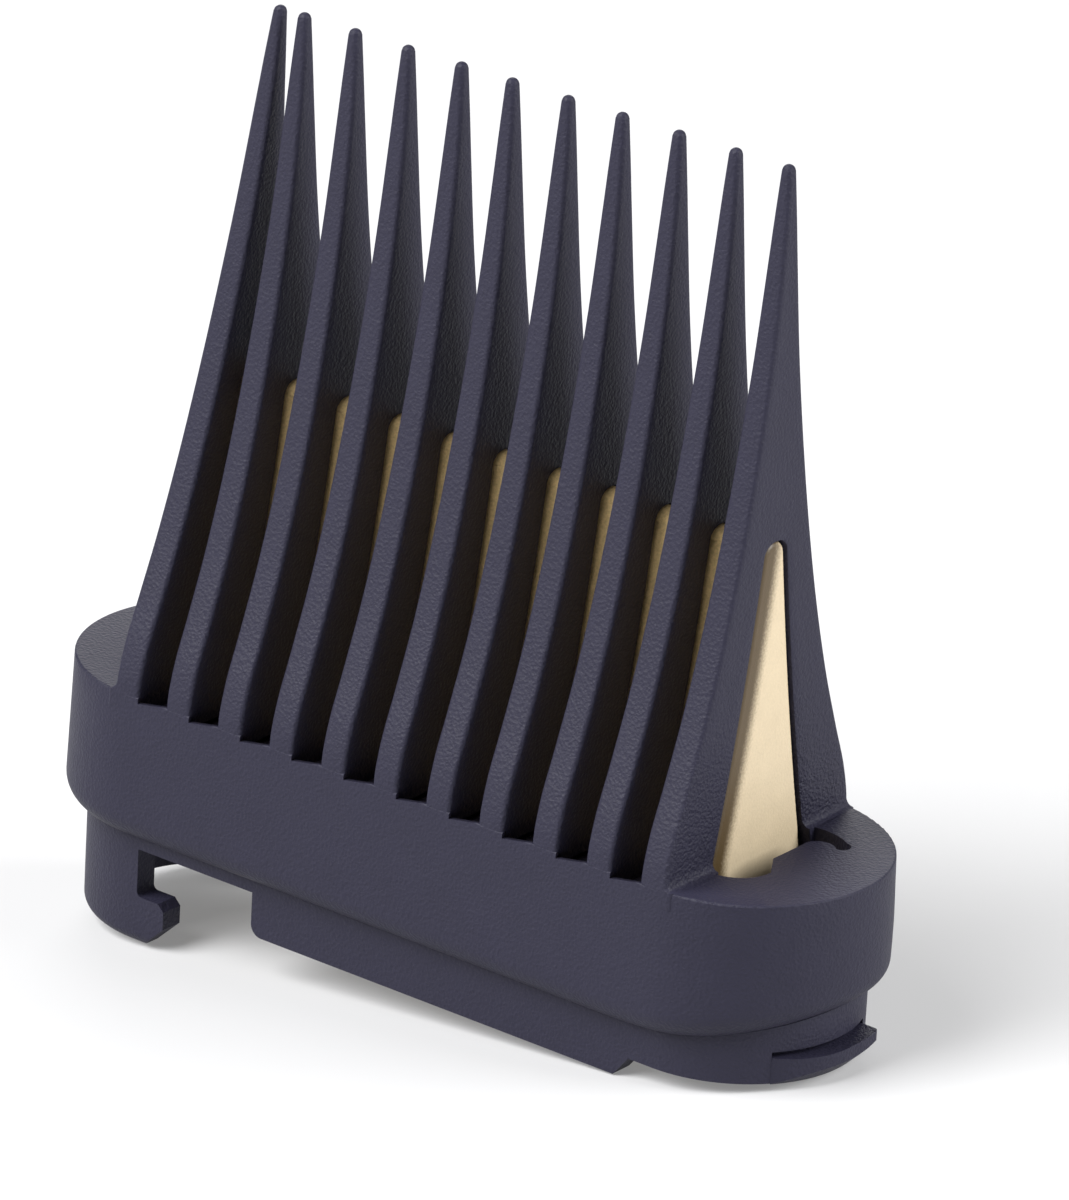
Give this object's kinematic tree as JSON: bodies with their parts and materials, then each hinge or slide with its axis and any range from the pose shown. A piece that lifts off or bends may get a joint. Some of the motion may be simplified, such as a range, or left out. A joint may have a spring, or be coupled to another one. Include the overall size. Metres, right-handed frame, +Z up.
{
  "type": "hair clipper comb attachment",
  "caption": "Tall clip-on comb attachment: a row of slender A-shaped teeth on a collar, a wedge core through them and a plug-in coupling with a hook end and a latch ledge.",
  "frame": {"origin": "bottom centre of the bounding box, under the middle of the row of teeth, level with the lower edge of the hook end wall", "axes": "+X along the row of teeth towards the latch end, +Y across the row towards the back, +Z up towards the tips"},
  "size_m": [0.0655, 0.0206, 0.0663],
  "materials": {
    "comb_plastic": "fine spark-eroded texture, satin",
    "core_plastic": "fine satin texture"
  },
  "bodies": {
    "comb": {"collar": "comb_plastic", "tooth_01": "comb_plastic", "tooth_02": "comb_plastic", "tooth_03": "comb_plastic", "tooth_04": "comb_plastic", "tooth_05": "comb_plastic", "tooth_06": "comb_plastic", "tooth_07": "comb_plastic", "tooth_08": "comb_plastic", "tooth_09": "comb_plastic", "tooth_10": "comb_plastic", "tooth_11": "comb_plastic", "coupling_ring": "comb_plastic", "hook_end_wall": "comb_plastic", "front_wall": "comb_plastic", "back_wall": "comb_plastic", "latch_end_wall": "comb_plastic", "catch_ledge": "comb_plastic"},
    "core": {"core": "core_plastic"}
  },
  "joints": [
    {"name": "core_slide", "type": "slide", "parent": "comb", "child": "core", "axis": [0, 0, -1], "range_m": [0, 0.042]}
  ]
}
